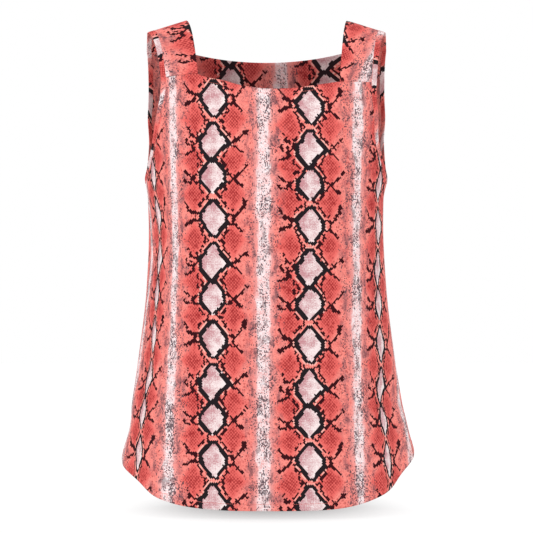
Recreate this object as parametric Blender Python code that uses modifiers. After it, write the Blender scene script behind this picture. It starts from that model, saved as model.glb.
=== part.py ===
"""Sleeveless square-neck blouse, filled out as it hangs from the shoulders of a general figure.

Metres, +Z up. The front faces -Y, and the wearer's left is at +X. The origin is where the
shoulders carry the straps: midway between the two, at the height of the straps' inner top corners.

Every piece is a thin wall of cloth: a grid laid on the garment's surface, given its thickness by a
Solidify modifier. Two surfaces carry all six pieces. The body is a stack of rounded sections, and
the shoulders are arches that rise from the front section, cross the ridge and come down behind.
"""

import math

import bmesh
import bpy
import numpy as np
from mathutils import Vector

COLLECTION = "Sleeveless blouse"
FRONT, BACK = -1, 1         # faces of the body, and the way each one looks along Y
RIGHT, LEFT = -1, 1         # the wearer's sides, and the way each one lies along X

# Cloth and seams
CLOTH = 0.0014              # wall of the cloth with its turnings
SEAM_GAP = 0.0003           # between two pieces where they are sewn together

# The body's sections, from the chest down to the hem
LEVEL_COLUMNS = ("height", "half_width", "front_depth", "back_depth", "sway", "front_sway")
LEVELS = (
    (-0.035, 0.1620, 0.047, 0.060, 0.0000, 0.0029),
    (-0.080, 0.1635, 0.077, 0.078, 0.0000, 0.0029),
    (-0.120, 0.1635, 0.095, 0.091, 0.0000, 0.0015),
    (-0.160, 0.1595, 0.108, 0.099, 0.0000, -0.0012),
    (-0.204, 0.1582, 0.116, 0.103, -0.0003, 0.0000),
    (-0.234, 0.1535, 0.118, 0.102, -0.0010, 0.0000),
    (-0.273, 0.1527, 0.117, 0.099, -0.0006, 0.0000),
    (-0.349, 0.1562, 0.116, 0.097, 0.0000, 0.0000),
    (-0.433, 0.1661, 0.119, 0.102, 0.0002, 0.0000),
    (-0.495, 0.1755, 0.123, 0.109, 0.0006, 0.0000),
    (-0.530, 0.1812, 0.126, 0.114, 0.0030, 0.0000),
    (-0.562, 0.1900, 0.130, 0.119, 0.0030, 0.0000),
    (-0.630, 0.2030, 0.136, 0.128, 0.0040, 0.0000),
)
SQUARENESS = 2.5            # exponent of a section: 2 is an ellipse, more is flatter in front

# Top edges: the front's is the neckline between the straps and the strap seams beyond them
NECK_CORNER = 0.0910        # half of the square neckline, at the front
FRONT_TOP_COLUMNS = ("across", "right_height", "left_height")
FRONT_TOP = (
    (0.000, -0.0938, -0.0938),
    (0.032, -0.0890, -0.0930),
    (0.055, -0.0825, -0.0898),
    (0.075, -0.0785, -0.0868),
    (0.092, -0.0735, -0.0843),
    (0.125, -0.0765, -0.0838),
)
BACK_CORNER = 0.1000        # half of the back neckline
BACK_NECK_HEIGHT = -0.0508  # the back neckline's middle
BACK_NECK_RISE = 0.0114     # from there up to its corners

# Shoulder ridge, where the straps lie on the shoulders
RIDGE_INNER = 0.1052
RIDGE_OUTER = 0.1556
RIDGE_DROP = 0.0157         # from the inner end of the ridge down to the outer end
RIDGE_ROUNDING = 0.52       # reach of the arch's level handle, as a share of the arch's depth
CHEST_HANDLE = 0.42         # reach of the arch's upright handle, as a share of its height
STRAP_LENGTH = 0.2000       # from seam to seam over the ridge, and the width: both only turn a seam's
STRAP_WIDTH = 0.0400        # gap into a share of the strap

# Armholes: an egg round the side line, narrower at the top, measured along the cloth
ARMHOLE_TOP = -0.0157
ARMHOLE_BOTTOM = -0.2050
ARMHOLE_FORE = 0.0630       # from the side line forward
ARMHOLE_AFT = 0.0370        # from the side line back
ARMHOLE_LOW_CURVE = 2.6     # exponents of the egg's lower and upper halves
ARMHOLE_HIGH_CURVE = {FRONT: 1.60, BACK: 1.75}
BAND_WIDTH = 0.0095

# Shirt-tail hem
HEM_MIDDLE = -0.6295
HEM_RISE = {RIGHT: 0.0625, LEFT: 0.0735}  # from the middle up to each side seam
HEM_CURVE = 1.8             # how far the rise keeps to the sides: 1 is a plain wave

# Folds that open out toward the hem: place and breadth are shares of the way from middle to seam
FOLD_COLUMNS = ("face", "place", "half_breadth", "top", "depth")
FOLDS = (
    (FRONT, -0.68, 0.17, -0.33, -0.0090),
    (FRONT, 0.70, 0.16, -0.36, -0.0080),
    (FRONT, -0.27, 0.17, -0.44, -0.0030),
    (FRONT, 0.31, 0.19, -0.40, 0.0030),
    (BACK, -0.66, 0.18, -0.32, -0.0090),
    (BACK, 0.62, 0.19, -0.35, -0.0080),
    (BACK, -0.21, 0.20, -0.30, -0.0070),
    (BACK, 0.17, 0.17, -0.40, 0.0060),
)
FOLD_FULL = -0.57           # height at which a fold has its whole depth

# Grids
HALF_COLUMNS = 18           # of a panel, from its middle to a side
ARMHOLE_ROWS = 9            # of a panel, along its armhole
SIDE_ROWS = 17              # of a panel, along its side seam
ARMHOLE_SHARE = {FRONT: 0.290, BACK: 0.345}  # of a panel's length, down to its armholes' bottom
STRAP_COLUMNS = 6
STRAP_ROWS = 16
SECTION_STEPS = 240         # of a quarter section, when its length is measured
FOOT_STEP = 0.0040          # up the body from an arch's foot, to find which way it leaves

# Points inside the garment, from which every piece faces away
BODY_INSIDE = Vector((0, 0, -0.35))
SHOULDER_INSIDE = {RIGHT: Vector((-0.11, 0, -0.1)), LEFT: Vector((0.11, 0, -0.1))}

CORAL = (0.62, 0.17, 0.14, 1.0)
PALE_CORAL = (0.70, 0.40, 0.36, 1.0)


def clear_scene():
    for existing in list(bpy.data.objects):
        bpy.data.objects.remove(existing, do_unlink=True)


def smooth_column(table, columns, name, at):
    """Value of a table's column, smooth between its rows and free of overshoot."""
    rows = np.array(table)
    order = np.argsort(rows[:, 0])
    places, values = rows[order, 0], rows[order, columns.index(name)]
    at = min(max(at, places[0]), places[-1])
    slopes = np.diff(values) / np.diff(places)
    low = min(max(np.searchsorted(places, at) - 1, 0), len(slopes) - 1)

    def slope_at(index):
        if index in (0, len(slopes)):
            return slopes[min(index, len(slopes) - 1)]
        before, after = slopes[index - 1], slopes[index]
        return 0.0 if before * after <= 0 else 2 * before * after / (before + after)

    step = places[low + 1] - places[low]
    t = (at - places[low]) / step
    start, end = values[low], values[low + 1]
    rise = (3 - 2 * t) * t * t
    bend = t * (1 - t) * step * ((1 - t) * slope_at(low) - t * slope_at(low + 1))
    return start + (end - start) * rise + bend


def level(height, name):
    return smooth_column(LEVELS, LEVEL_COLUMNS, name, height)


def depth_name(face):
    return "front_depth" if face == FRONT else "back_depth"


def quarter_section(face, height):
    """One quarter of a section as points from the middle line to the side line, with their lengths."""
    turns = np.linspace(0.0, math.pi / 2, SECTION_STEPS + 1)
    width = level(height, "half_width") - CLOTH / 2
    depth = level(height, depth_name(face)) - CLOTH / 2
    across = width * np.sin(turns) ** (2 / SQUARENESS)
    deep = depth * np.cos(turns).clip(0) ** (2 / SQUARENESS)
    lengths = np.concatenate([[0.0], np.cumsum(np.hypot(np.diff(across), np.diff(deep)))])
    return across, deep, lengths


def fold_push(face, height, turn):
    """How far the folds move the cloth out of its plain section."""
    push = 0.0
    for row in FOLDS:
        fold = dict(zip(FOLD_COLUMNS, row))
        reach = (turn - fold["place"]) / fold["half_breadth"]
        if fold["face"] != face or abs(reach) >= 1 or height >= fold["top"]:
            continue
        grown = min((fold["top"] - height) / (fold["top"] - FOLD_FULL), 1.0)
        push += fold["depth"] * math.cos(reach * math.pi / 2) ** 2 * grown ** 1.5
    return push


def body_point(face, height, turn):
    """Point of the body: turn runs from -1 at the right side line through 0 to 1 at the left one."""
    across, deep, lengths = quarter_section(face, height)
    way = abs(turn) * lengths[-1]
    x, y = np.interp(way, lengths, across), np.interp(way, lengths, deep)
    width, depth = across[-1], deep[0]
    outward = Vector(((x / width) ** (SQUARENESS - 1) / width, (y / depth) ** (SQUARENESS - 1) / depth))
    outward.normalize()
    push = fold_push(face, height, turn)
    side = math.copysign(1.0, turn)
    sway = level(height, "sway") + (level(height, "front_sway") if face == FRONT else 0.0)
    return Vector((
        side * (x + push * outward.x) + sway,
        face * (y + push * outward.y),
        height,
    ))


def side_length(face, height):
    return quarter_section(face, height)[2][-1]


def turn_at(face, height, x):
    """The turn at which the body's section is x from the middle."""
    across, _, lengths = quarter_section(face, height)
    return math.copysign(np.interp(abs(x), across, lengths) / lengths[-1], x)


def top_height(face, x):
    """Height of a panel's top edge at x."""
    if face == FRONT:
        column = "left_height" if x > 0 else "right_height"
        return smooth_column(FRONT_TOP, FRONT_TOP_COLUMNS, column, abs(x))
    return BACK_NECK_HEIGHT + BACK_NECK_RISE * min(abs(x) / BACK_CORNER, 1.0) ** 2


def armhole_turn_and_height(side, face, share, spread):
    """A place on the armhole: share 0 at the panel's top edge, 1 at the bottom, spread outside it."""
    middle = (ARMHOLE_TOP + ARMHOLE_BOTTOM) / 2
    half_height = (ARMHOLE_TOP - ARMHOLE_BOTTOM) / 2 + spread
    reach = (ARMHOLE_FORE if face == FRONT else ARMHOLE_AFT) + spread
    top = top_height(face, side * RIDGE_OUTER)
    high = ARMHOLE_HIGH_CURVE[face]
    start = math.asin(((top - middle) / half_height) ** (high / 2))
    angle = start + (-math.pi / 2 - start) * share
    curve = high if angle > 0 else ARMHOLE_LOW_CURVE
    height = middle + half_height * math.copysign(abs(math.sin(angle)) ** (2 / curve), angle)
    ahead = reach * max(math.cos(angle), 0.0) ** (2 / curve)
    return side * (1 - ahead / side_length(face, height)), height


def armhole_point(side, face, share, spread):
    turn, height = armhole_turn_and_height(side, face, share, spread)
    return body_point(face, height, turn)


def hem_height(turn):
    rise = HEM_RISE[LEFT if turn > 0 else RIGHT]
    return HEM_MIDDLE + rise * (1 - math.cos(math.pi * abs(turn) ** HEM_CURVE)) / 2


def panel_edge(side, face, row):
    """Where a panel's row ends: along the armhole first, then down the side seam."""
    if row <= ARMHOLE_ROWS:
        turn, height = armhole_turn_and_height(side, face, row / ARMHOLE_ROWS, BAND_WIDTH + SEAM_GAP)
    else:
        start = ARMHOLE_BOTTOM - BAND_WIDTH - SEAM_GAP
        height = start + (hem_height(side) - start) * (row - ARMHOLE_ROWS) / SIDE_ROWS
        turn = side
    seam = 1 - SEAM_GAP / 2 / side_length(face, height)
    return max(min(turn, seam), -seam), height


def panel_point(face, column, row):
    """Point of a panel's grid: its rows bend from the top edge to the hem's curve."""
    along = column / HALF_COLUMNS
    side = LEFT if along >= 0 else RIGHT
    edge_turn, edge_height = panel_edge(side, face, row)
    turn = abs(along) * edge_turn
    share = ARMHOLE_SHARE[face]
    if row <= ARMHOLE_ROWS:
        down = share * row / ARMHOLE_ROWS
    else:
        down = share + (1 - share) * (row - ARMHOLE_ROWS) / SIDE_ROWS
    top_turn, top_end = panel_edge(side, face, 0)
    top_x = body_point(face, top_end, abs(along) * top_turn).x
    plain = (1 - down) * top_height(face, top_x) + down * hem_height(along)
    plain_end = (1 - down) * top_end + down * hem_height(side)
    height = plain + (edge_height - plain_end) * abs(along) ** 3
    return body_point(face, height, turn)


def bezier(points, t):
    s = 1 - t
    first, second, third, last = points
    return first * s ** 3 + second * 3 * s * s * t + third * 3 * s * t * t + last * t ** 3


def arch_foot(side, face, across):
    """Foot of the shoulder arch: across is 0 at the neck, 1 at the band's seam, 2 at the armhole."""
    spread = BAND_WIDTH * min(2 - across, 1.0)
    turn, height = armhole_turn_and_height(side, face, 0.0, spread)
    if across < 1:
        corner = side * (NECK_CORNER if face == FRONT else BACK_CORNER)
        corner_turn = turn_at(face, height, corner)
        turn = corner_turn + (turn - corner_turn) * across
        height = top_height(face, body_point(face, height, turn).x)
    foot = body_point(face, height, turn)
    above = body_point(face, height + FOOT_STEP, turn)
    return foot, (above - foot).normalized()


def shoulder_point(side, across, along):
    """Point of the arch: along is 0 at the front seam, 0.5 at the ridge and 1 at the back seam."""
    face = FRONT if along < 0.5 else BACK
    foot, upward = arch_foot(side, face, across)
    ridge_seam = RIDGE_OUTER - BAND_WIDTH
    ridge_x = np.interp(across, (0, 1, 2), (RIDGE_INNER, ridge_seam, RIDGE_OUTER))
    drop = RIDGE_DROP * (ridge_x - RIDGE_INNER) / (RIDGE_OUTER - RIDGE_INNER)
    ridge = Vector((side * ridge_x, 0.0, -drop - CLOTH / 2))
    rise = ridge.z - foot.z
    handles = (
        foot,
        foot + upward * rise * CHEST_HANDLE,
        ridge + Vector((0, foot.y * RIDGE_ROUNDING, 0)),
        ridge,
    )
    point = bezier(handles, 2 * along if face == FRONT else 2 - 2 * along)
    point.x = ridge.x + (foot.x - ridge.x) * point.y / foot.y
    return point


def strap_point(side, column, row):
    foot_gap = SEAM_GAP / STRAP_LENGTH
    side_gap = SEAM_GAP / STRAP_WIDTH
    across = (1 - side_gap) * column / STRAP_COLUMNS
    along = foot_gap + (1 - 2 * foot_gap) * row / STRAP_ROWS
    return shoulder_point(side, across, along)


def band_point(side, edge, station):
    """Point of a band: round the armhole from the front seam of the strap, down, up behind and over."""
    spread = BAND_WIDTH * (1 - edge)
    if station <= ARMHOLE_ROWS:
        return armhole_point(side, FRONT, station / ARMHOLE_ROWS, spread)
    if station <= 2 * ARMHOLE_ROWS:
        return armhole_point(side, BACK, 2 - station / ARMHOLE_ROWS, spread)
    over = (station - 2 * ARMHOLE_ROWS) / STRAP_ROWS
    return shoulder_point(side, 1 + edge, 1 - over)


def cloth_material(name, colour):
    material = bpy.data.materials.new(name)
    material.use_nodes = True
    shader = material.node_tree.nodes["Principled BSDF"]
    shader.inputs["Base Color"].default_value = colour
    shader.inputs["Roughness"].default_value = 0.7
    shader.inputs["Metallic"].default_value = 0.0
    return material


def add_cloth(collection, name, place, columns, rows, colour, inside):
    """A grid of columns by rows whose points go where place puts them, thickened to both sides."""
    mesh = bpy.data.meshes.new(name)
    grid = bmesh.new()
    bmesh.ops.create_grid(grid, x_segments=columns, y_segments=rows, size=1.0)
    for vertex in grid.verts:
        column = round((vertex.co.x + 1) / 2 * columns)
        row = round((vertex.co.y + 1) / 2 * rows)
        vertex.co = place(column, row)
    bmesh.ops.remove_doubles(grid, verts=grid.verts, dist=0.00001)
    grid.normal_update()
    face = max(grid.faces, key=lambda candidate: candidate.calc_area())
    if face.normal.dot(face.calc_center_median() - inside) < 0:
        bmesh.ops.reverse_faces(grid, faces=grid.faces)
    grid.to_mesh(mesh)
    grid.free()
    mesh.shade_smooth()
    mesh.materials.append(cloth_material(name, colour))
    piece = bpy.data.objects.new(name, mesh)
    collection.objects.link(piece)
    wall = piece.modifiers.new("Cloth", "SOLIDIFY")
    wall.thickness = CLOTH
    wall.offset = 0.0
    wall.use_even_offset = True
    return piece


def add_panel(collection, name, face):
    add_cloth(
        collection, name,
        lambda column, row: panel_point(face, column - HALF_COLUMNS, row),
        2 * HALF_COLUMNS, ARMHOLE_ROWS + SIDE_ROWS, CORAL, BODY_INSIDE,
    )


def add_shoulder(collection, wearer_side, side):
    add_cloth(
        collection, "strap_" + wearer_side,
        lambda column, row: strap_point(side, column, row),
        STRAP_COLUMNS, STRAP_ROWS, CORAL, SHOULDER_INSIDE[side],
    )
    add_cloth(
        collection, "armhole_band_" + wearer_side,
        lambda edge, station: band_point(side, edge, station),
        1, 2 * ARMHOLE_ROWS + STRAP_ROWS, PALE_CORAL, SHOULDER_INSIDE[side],
    )


def main():
    clear_scene()
    collection = bpy.data.collections.new(COLLECTION)
    bpy.context.scene.collection.children.link(collection)
    add_panel(collection, "front", FRONT)
    add_panel(collection, "back", BACK)
    add_shoulder(collection, "left", LEFT)
    add_shoulder(collection, "right", RIGHT)


main()
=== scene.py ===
# %% [markdown]
# # A sleeveless blouse in snakeskin print
#
# The blouse is cut from one printed cloth in six pieces: a front, a back, two shoulder straps and
# two narrow armhole bindings. It hangs here in the hollow shape it has when somebody wears it.
#
# The frame holds that shape as plain, thin solids. This lesson dresses each solid in a finer
# piece of cloth: a dense sheet laid on the same surface, with the small folds, edges, sewing and
# print that the solids leave out. Everything is in metres, in the frame's own axes: the front
# faces -Y and the wearer's left is at +X.

# %% Load the frame, and some helpers
import math
from functools import partialmethod

import bmesh
import bpy
import numpy as np
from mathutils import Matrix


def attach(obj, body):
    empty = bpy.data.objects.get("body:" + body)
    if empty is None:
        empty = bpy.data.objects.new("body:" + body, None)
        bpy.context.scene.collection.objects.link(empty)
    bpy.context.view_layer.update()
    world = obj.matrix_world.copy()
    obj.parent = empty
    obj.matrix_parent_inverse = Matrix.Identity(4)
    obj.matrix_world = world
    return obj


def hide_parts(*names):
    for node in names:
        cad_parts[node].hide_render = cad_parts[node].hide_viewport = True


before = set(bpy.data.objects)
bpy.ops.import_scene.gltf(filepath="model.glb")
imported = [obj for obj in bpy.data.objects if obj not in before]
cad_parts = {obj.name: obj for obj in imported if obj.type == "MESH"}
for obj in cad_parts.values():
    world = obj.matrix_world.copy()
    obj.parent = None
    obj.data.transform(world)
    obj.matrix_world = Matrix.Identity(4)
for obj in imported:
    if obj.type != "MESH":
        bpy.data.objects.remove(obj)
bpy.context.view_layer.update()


def add_object(name, data):
    thing = bpy.data.objects.new(name, data)
    bpy.context.scene.collection.objects.link(thing)
    return thing


def feed(tree, node, inputs):
    """Gives a node's inputs their values: a constant, or what comes out of another node."""
    for name, value in inputs.items():
        if isinstance(value, bpy.types.NodeSocket):
            tree.links.new(value, node.inputs[name])
        else:
            node.inputs[name].default_value = value


def add_material(name, inputs):
    """A new material, its node tree and its shader."""
    material = bpy.data.materials.new(name)
    material.use_nodes = True
    shader = material.node_tree.nodes["Principled BSDF"]
    feed(material.node_tree, shader, inputs)
    return material, material.node_tree, shader

# %% [markdown]
# ## Camera, floor and light
#
# Blouses are photographed straight on, from some way off, so that the sides hardly converge: the
# camera stands 4 m in front, level with the middle of the blouse, and sees about 0.7 m.
#
# Soft studio light could be built from many lamps. A white world does most of it at once, as a
# light tent would, and one large lamp from the upper left keeps the folds readable. The floor
# glows evenly white, though it is no lamp, and under the blouse its glow is dimmed: a painted
# shadow. The soft shade under the hem could come from lamps alone, but it ends in a hard edge so
# close to the floor, so the shadow is painted into the floor's glow instead.

# %% Camera
CAMERA_DISTANCE = 4.0
CAMERA_HEIGHT = -0.321
VIEW_WIDTH = 0.69557        # of what the camera sees, at the shoulders' distance
SENSOR_WIDTH = 36.0         # in mm, as the lens is

eye = bpy.data.cameras.new("camera")
eye.sensor_width = SENSOR_WIDTH
eye.lens = SENSOR_WIDTH / VIEW_WIDTH * CAMERA_DISTANCE
camera = add_object("camera", eye)
camera.location = (0.0, -CAMERA_DISTANCE, CAMERA_HEIGHT)
camera.rotation_euler = (math.pi / 2, 0.0, 0.0)
bpy.context.scene.camera = camera
bpy.context.scene.view_settings.view_transform = "Standard"
print("camera with a lens of", round(eye.lens), "mm")

# %% Floor
FLOOR_HEIGHT = -0.640
FLOOR_RADIUS = 6.0
PAINTED_SHADOW_MIDDLE = 0.10        # how far behind the shoulders the painted shadow's middle is
PAINTED_SHADOW_REACH = 0.33         # of the painted shadow, front to back
PAINTED_SHADOW_NARROWER = 1.6       # times as narrow across
GLOW, PAINTED_SHADOW_GLOW = 0.90, 0.42
PAINTED_SHADOW_FULL = 0.82         # nearness to the painted shadow's middle, 0 to 1, from which the painted shadow is darkest

floor_shape = bmesh.new()
bmesh.ops.create_circle(floor_shape, cap_ends=True, segments=96, radius=FLOOR_RADIUS)
for vertex in floor_shape.verts:
    vertex.co.z = FLOOR_HEIGHT
floor_mesh = bpy.data.meshes.new("floor")
floor_shape.to_mesh(floor_mesh)
floor_shape.free()
floor = add_object("floor", floor_mesh)
floor_paint, floor_tree, floor_shader = add_material("white floor with painted shadow", {
    "Base Color": (0.12, 0.12, 0.12, 1),
    "Roughness": 0.9,
    "Specular IOR Level": 0.1,
    "Emission Color": (1.0, 1.0, 1.0, 1),
})
# Painted shadow: the floor's glow is dimmed in a soft patch under the blouse, darkest in its middle
painted_shadow_patch = floor_tree.nodes.new("ShaderNodeMapping")
feed(floor_tree, painted_shadow_patch, {
    "Vector": floor_tree.nodes.new("ShaderNodeTexCoord").outputs["Object"],
    "Scale": (PAINTED_SHADOW_NARROWER / PAINTED_SHADOW_REACH, 1 / PAINTED_SHADOW_REACH, 0.0),
    "Location": (0.0, -PAINTED_SHADOW_MIDDLE / PAINTED_SHADOW_REACH, 0.0),
})
nearness = floor_tree.nodes.new("ShaderNodeTexGradient")
nearness.gradient_type = "SPHERICAL"
feed(floor_tree, nearness, {"Vector": painted_shadow_patch.outputs[0]})
glow_with_painted_shadow = floor_tree.nodes.new("ShaderNodeMapRange")
glow_with_painted_shadow.interpolation_type = "SMOOTHSTEP"
feed(floor_tree, glow_with_painted_shadow, {
    "Value": nearness.outputs["Fac"],
    "From Max": PAINTED_SHADOW_FULL,
    "To Min": GLOW,
    "To Max": PAINTED_SHADOW_GLOW,
})
feed(floor_tree, floor_shader, {"Emission Strength": glow_with_painted_shadow.outputs["Result"]})
floor_mesh.materials.append(floor_paint)
print("floor at", FLOOR_HEIGHT)

# %% Light
studio = bpy.data.worlds.new("white studio")
studio.use_nodes = True
studio.node_tree.nodes["Background"].inputs["Color"].default_value = (1.0, 1.0, 1.0, 1)
studio.node_tree.nodes["Background"].inputs["Strength"].default_value = 1.0
bpy.context.scene.world = studio

LAMP_PLACE, LAMP_AIM = np.array((-1.3, -2.4, 1.1)), np.array((0, 0, -0.3))

light = bpy.data.lights.new("key", "AREA")
light.shape = "SQUARE"
light.size = 1.4
light.energy = 15.0
lamp = add_object("key", light)
lamp.location = LAMP_PLACE
way = LAMP_AIM - LAMP_PLACE
lamp.rotation_euler = (
    math.acos(-way[2] / np.linalg.norm(way)), 0.0, math.atan2(way[1], way[0]) - math.pi / 2,
)
print("a lamp of", light.energy, "W,", round(float(np.linalg.norm(way)), 2), "m away")

# %% [markdown]
# ## The surface the cloth lies on
#
# A worn blouse is close to a tube with rounded, slightly flattened sections. The frame's solids
# are made from a table of such sections, so the finest way to stay exactly on them is to use the
# same table here. Each section is a "superellipse": between an ellipse and a rectangle.
#
# A place on the cloth is told by its height and its turn: the turn is 0 on the middle line and
# -1 or 1 on the side seams, measured as a share of the cloth's length between them.

# %% Sections of the body
FRONT, BACK = -1, 1
RIGHT, LEFT = -1, 1
WALL = 0.0014               # of the solids: their sections run along its middle

LEVEL_COLUMNS = ("height", "half_width", "front_depth", "back_depth", "sway", "front_sway")
LEVELS = (
    (-0.035, 0.1620, 0.047, 0.060, 0.0000, 0.0029),
    (-0.080, 0.1635, 0.077, 0.078, 0.0000, 0.0029),
    (-0.120, 0.1635, 0.095, 0.091, 0.0000, 0.0015),
    (-0.160, 0.1595, 0.108, 0.099, 0.0000, -0.0012),
    (-0.204, 0.1582, 0.116, 0.103, -0.0003, 0.0000),
    (-0.234, 0.1535, 0.118, 0.102, -0.0010, 0.0000),
    (-0.273, 0.1527, 0.117, 0.099, -0.0006, 0.0000),
    (-0.349, 0.1562, 0.116, 0.097, 0.0000, 0.0000),
    (-0.433, 0.1661, 0.119, 0.102, 0.0002, 0.0000),
    (-0.495, 0.1755, 0.123, 0.109, 0.0006, 0.0000),
    (-0.530, 0.1812, 0.126, 0.114, 0.0030, 0.0000),
    (-0.562, 0.1900, 0.130, 0.119, 0.0030, 0.0000),
    (-0.630, 0.2030, 0.136, 0.128, 0.0040, 0.0000),
)
SQUARENESS = 2.5


def smooth_column(table, columns, name, at):
    """Values of a table's column, smooth between its rows and free of overshoot."""
    rows = np.array(table)
    order = np.argsort(rows[:, 0])
    places, values = rows[order, 0], rows[order, columns.index(name)]
    at = np.clip(at, places[0], places[-1])
    gaps = np.diff(places)
    slopes = np.diff(values) / gaps
    product = slopes[:-1] * slopes[1:]
    total = np.where(product > 0, slopes[:-1] + slopes[1:], 1.0)
    inner = np.where(product > 0, 2 * product / total, 0.0)
    tangents = np.concatenate([slopes[:1], inner, slopes[-1:]])
    low = np.clip(np.searchsorted(places, at) - 1, 0, len(slopes) - 1)
    t = (at - places[low]) / gaps[low]
    bend = t * (1 - t) * gaps[low] * ((1 - t) * tangents[low] - t * tangents[low + 1])
    return values[low] + (values[low + 1] - values[low]) * (3 - 2 * t) * t * t + bend


def level(height, name):
    return smooth_column(LEVELS, LEVEL_COLUMNS, name, height)


def half_depth(face, height):
    """From the side line to the middle of the wall, in front or behind."""
    return level(height, "front_depth" if face == FRONT else "back_depth") - WALL / 2


def unit(vectors):
    return vectors / np.linalg.norm(vectors, axis=-1, keepdims=True)


def way_along(points):
    """How far along a line each of its points lies. A grid of points is a line for each column."""
    steps = np.linalg.norm(np.diff(points, axis=0), axis=-1)
    return np.concatenate([np.zeros((1,) + steps.shape[1:]), np.cumsum(steps, axis=0)])


HEIGHTS = np.linspace(-0.660, -0.010, 326)
SHARES = np.linspace(0.0, 1.0, 241)
SECTION_POINTS = 721
BEFORE_LAST = 1.001         # keeps a row or column of the table from being its last


def section_table(face):
    """Quarter sections at every height: across, deep and whole length, even along the cloth."""
    angles = np.linspace(0.0, math.pi / 2, SECTION_POINTS)
    across, deep, lengths = [], [], []
    half_widths = level(HEIGHTS, "half_width") - WALL / 2
    for half_width, depth in zip(half_widths, half_depth(face, HEIGHTS)):
        x = half_width * np.sin(angles) ** (2 / SQUARENESS)
        y = depth * np.cos(angles).clip(0) ** (2 / SQUARENESS)
        way = way_along(np.stack([x, y], axis=-1))
        across.append(np.interp(SHARES * way[-1], way, x))
        deep.append(np.interp(SHARES * way[-1], way, y))
        lengths.append(way[-1])
    return np.array(across), np.array(deep), np.array(lengths)


SECTIONS = {face: section_table(face) for face in (FRONT, BACK)}


def between(grid, height, share):
    """Values of a table over heights and shares, between its rows and columns."""
    row = np.clip((height - HEIGHTS[0]) / (HEIGHTS[1] - HEIGHTS[0]), 0, len(HEIGHTS) - BEFORE_LAST)
    column = np.clip(share * (len(SHARES) - 1), 0, len(SHARES) - BEFORE_LAST)
    r, c = row.astype(int), column.astype(int)
    v, w = row - r, column - c
    low = grid[r, c] * (1 - w) + grid[r, c + 1] * w
    return low * (1 - v) + (grid[r + 1, c] * (1 - w) + grid[r + 1, c + 1] * w) * v


def side_length(face, height):
    """Length of the cloth from the middle line to the side seam."""
    return np.interp(height, HEIGHTS, SECTIONS[face][2])


print("quarter of the hem", round(float(side_length(FRONT, -0.6)), 3), "m")

# %% [markdown]
# ## Folds and creases
#
# Cloth that hangs from the shoulders over a wider hem throws soft folds that open downward. The
# solids have the eight large ones. The finer ones are drawn here, each as a line on the cloth
# with a breadth and a depth, none like the next. Troughs have a negative depth.
#
# A cloth simulation could find folds by itself, but not those of this blouse, and they would
# pull the print off its place, so they are placed.

# %% Folds
FOLD_COLUMNS = ("face", "place", "half_breadth", "top", "depth")
FOLDS = (
    (FRONT, -0.68, 0.17, -0.33, -0.0090),
    (FRONT, 0.70, 0.16, -0.36, -0.0080),
    (FRONT, -0.27, 0.17, -0.44, -0.0030),
    (FRONT, 0.31, 0.19, -0.40, 0.0030),
    (BACK, -0.66, 0.18, -0.32, -0.0090),
    (BACK, 0.62, 0.19, -0.35, -0.0080),
    (BACK, -0.21, 0.20, -0.30, -0.0070),
    (BACK, 0.17, 0.17, -0.40, 0.0060),
)
FOLD_FULL = -0.57

# Creases: face, start (turn, height), end (turn, height), half breadth, depth
CREASES = (
    (FRONT, (-0.72, -0.205), (-0.52, -0.330), 0.013, -0.0016),
    (FRONT, (-0.80, -0.230), (-0.70, -0.350), 0.010, 0.0013),
    (FRONT, (0.74, -0.200), (0.55, -0.310), 0.014, -0.0015),
    (FRONT, (0.83, -0.225), (0.72, -0.340), 0.010, 0.0014),
    (FRONT, (-0.12, -0.130), (-0.20, -0.260), 0.016, 0.0008),
    (FRONT, (0.22, -0.150), (0.15, -0.300), 0.018, -0.0009),
    (FRONT, (-0.45, -0.380), (-0.50, -0.600), 0.016, 0.0016),
    (FRONT, (0.50, -0.400), (0.53, -0.610), 0.014, 0.0015),
    (FRONT, (0.05, -0.420), (0.02, -0.625), 0.020, -0.0014),
    (BACK, (-0.70, -0.200), (-0.45, -0.290), 0.013, -0.0019),
    (BACK, (0.72, -0.195), (0.50, -0.300), 0.012, -0.0017),
    (BACK, (-0.40, -0.120), (-0.35, -0.230), 0.015, 0.0012),
    (BACK, (0.38, -0.110), (0.42, -0.240), 0.017, 0.0013),
    (BACK, (0.05, -0.180), (-0.03, -0.330), 0.018, -0.0014),
    (BACK, (0.40, -0.400), (0.44, -0.600), 0.015, -0.0018),
    (BACK, (-0.45, -0.390), (-0.42, -0.610), 0.014, 0.0019),
)


def fold_push(face, height, turn):
    """How far folds and creases move the cloth out of its plain section."""
    push = np.zeros_like(height)
    for row in FOLDS:
        fold = dict(zip(FOLD_COLUMNS, row))
        if fold["face"] == face:
            reach = np.clip((turn - fold["place"]) / fold["half_breadth"], -1, 1)
            grown = np.clip((fold["top"] - height) / (fold["top"] - FOLD_FULL), 0, 1)
            push += fold["depth"] * np.cos(reach * math.pi / 2) ** 2 * grown ** 1.5
    way = turn * side_length(face, height)
    for crease_face, start, end, half_breadth, depth in CREASES:
        if crease_face == face:
            x0, x1 = (t * float(side_length(face, h)) for t, h in (start, end))
            dx, dz = x1 - x0, end[1] - start[1]
            along = ((way - x0) * dx + (height - start[1]) * dz) / (dx * dx + dz * dz)
            aside = np.abs((way - x0) * dz - (height - start[1]) * dx) / math.hypot(dx, dz)
            swell = np.sin(np.clip(along, 0, 1) * math.pi) ** 1.3
            push += depth * swell * np.cos(np.clip(aside / half_breadth, 0, 1) * math.pi / 2) ** 2
    return push


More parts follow.
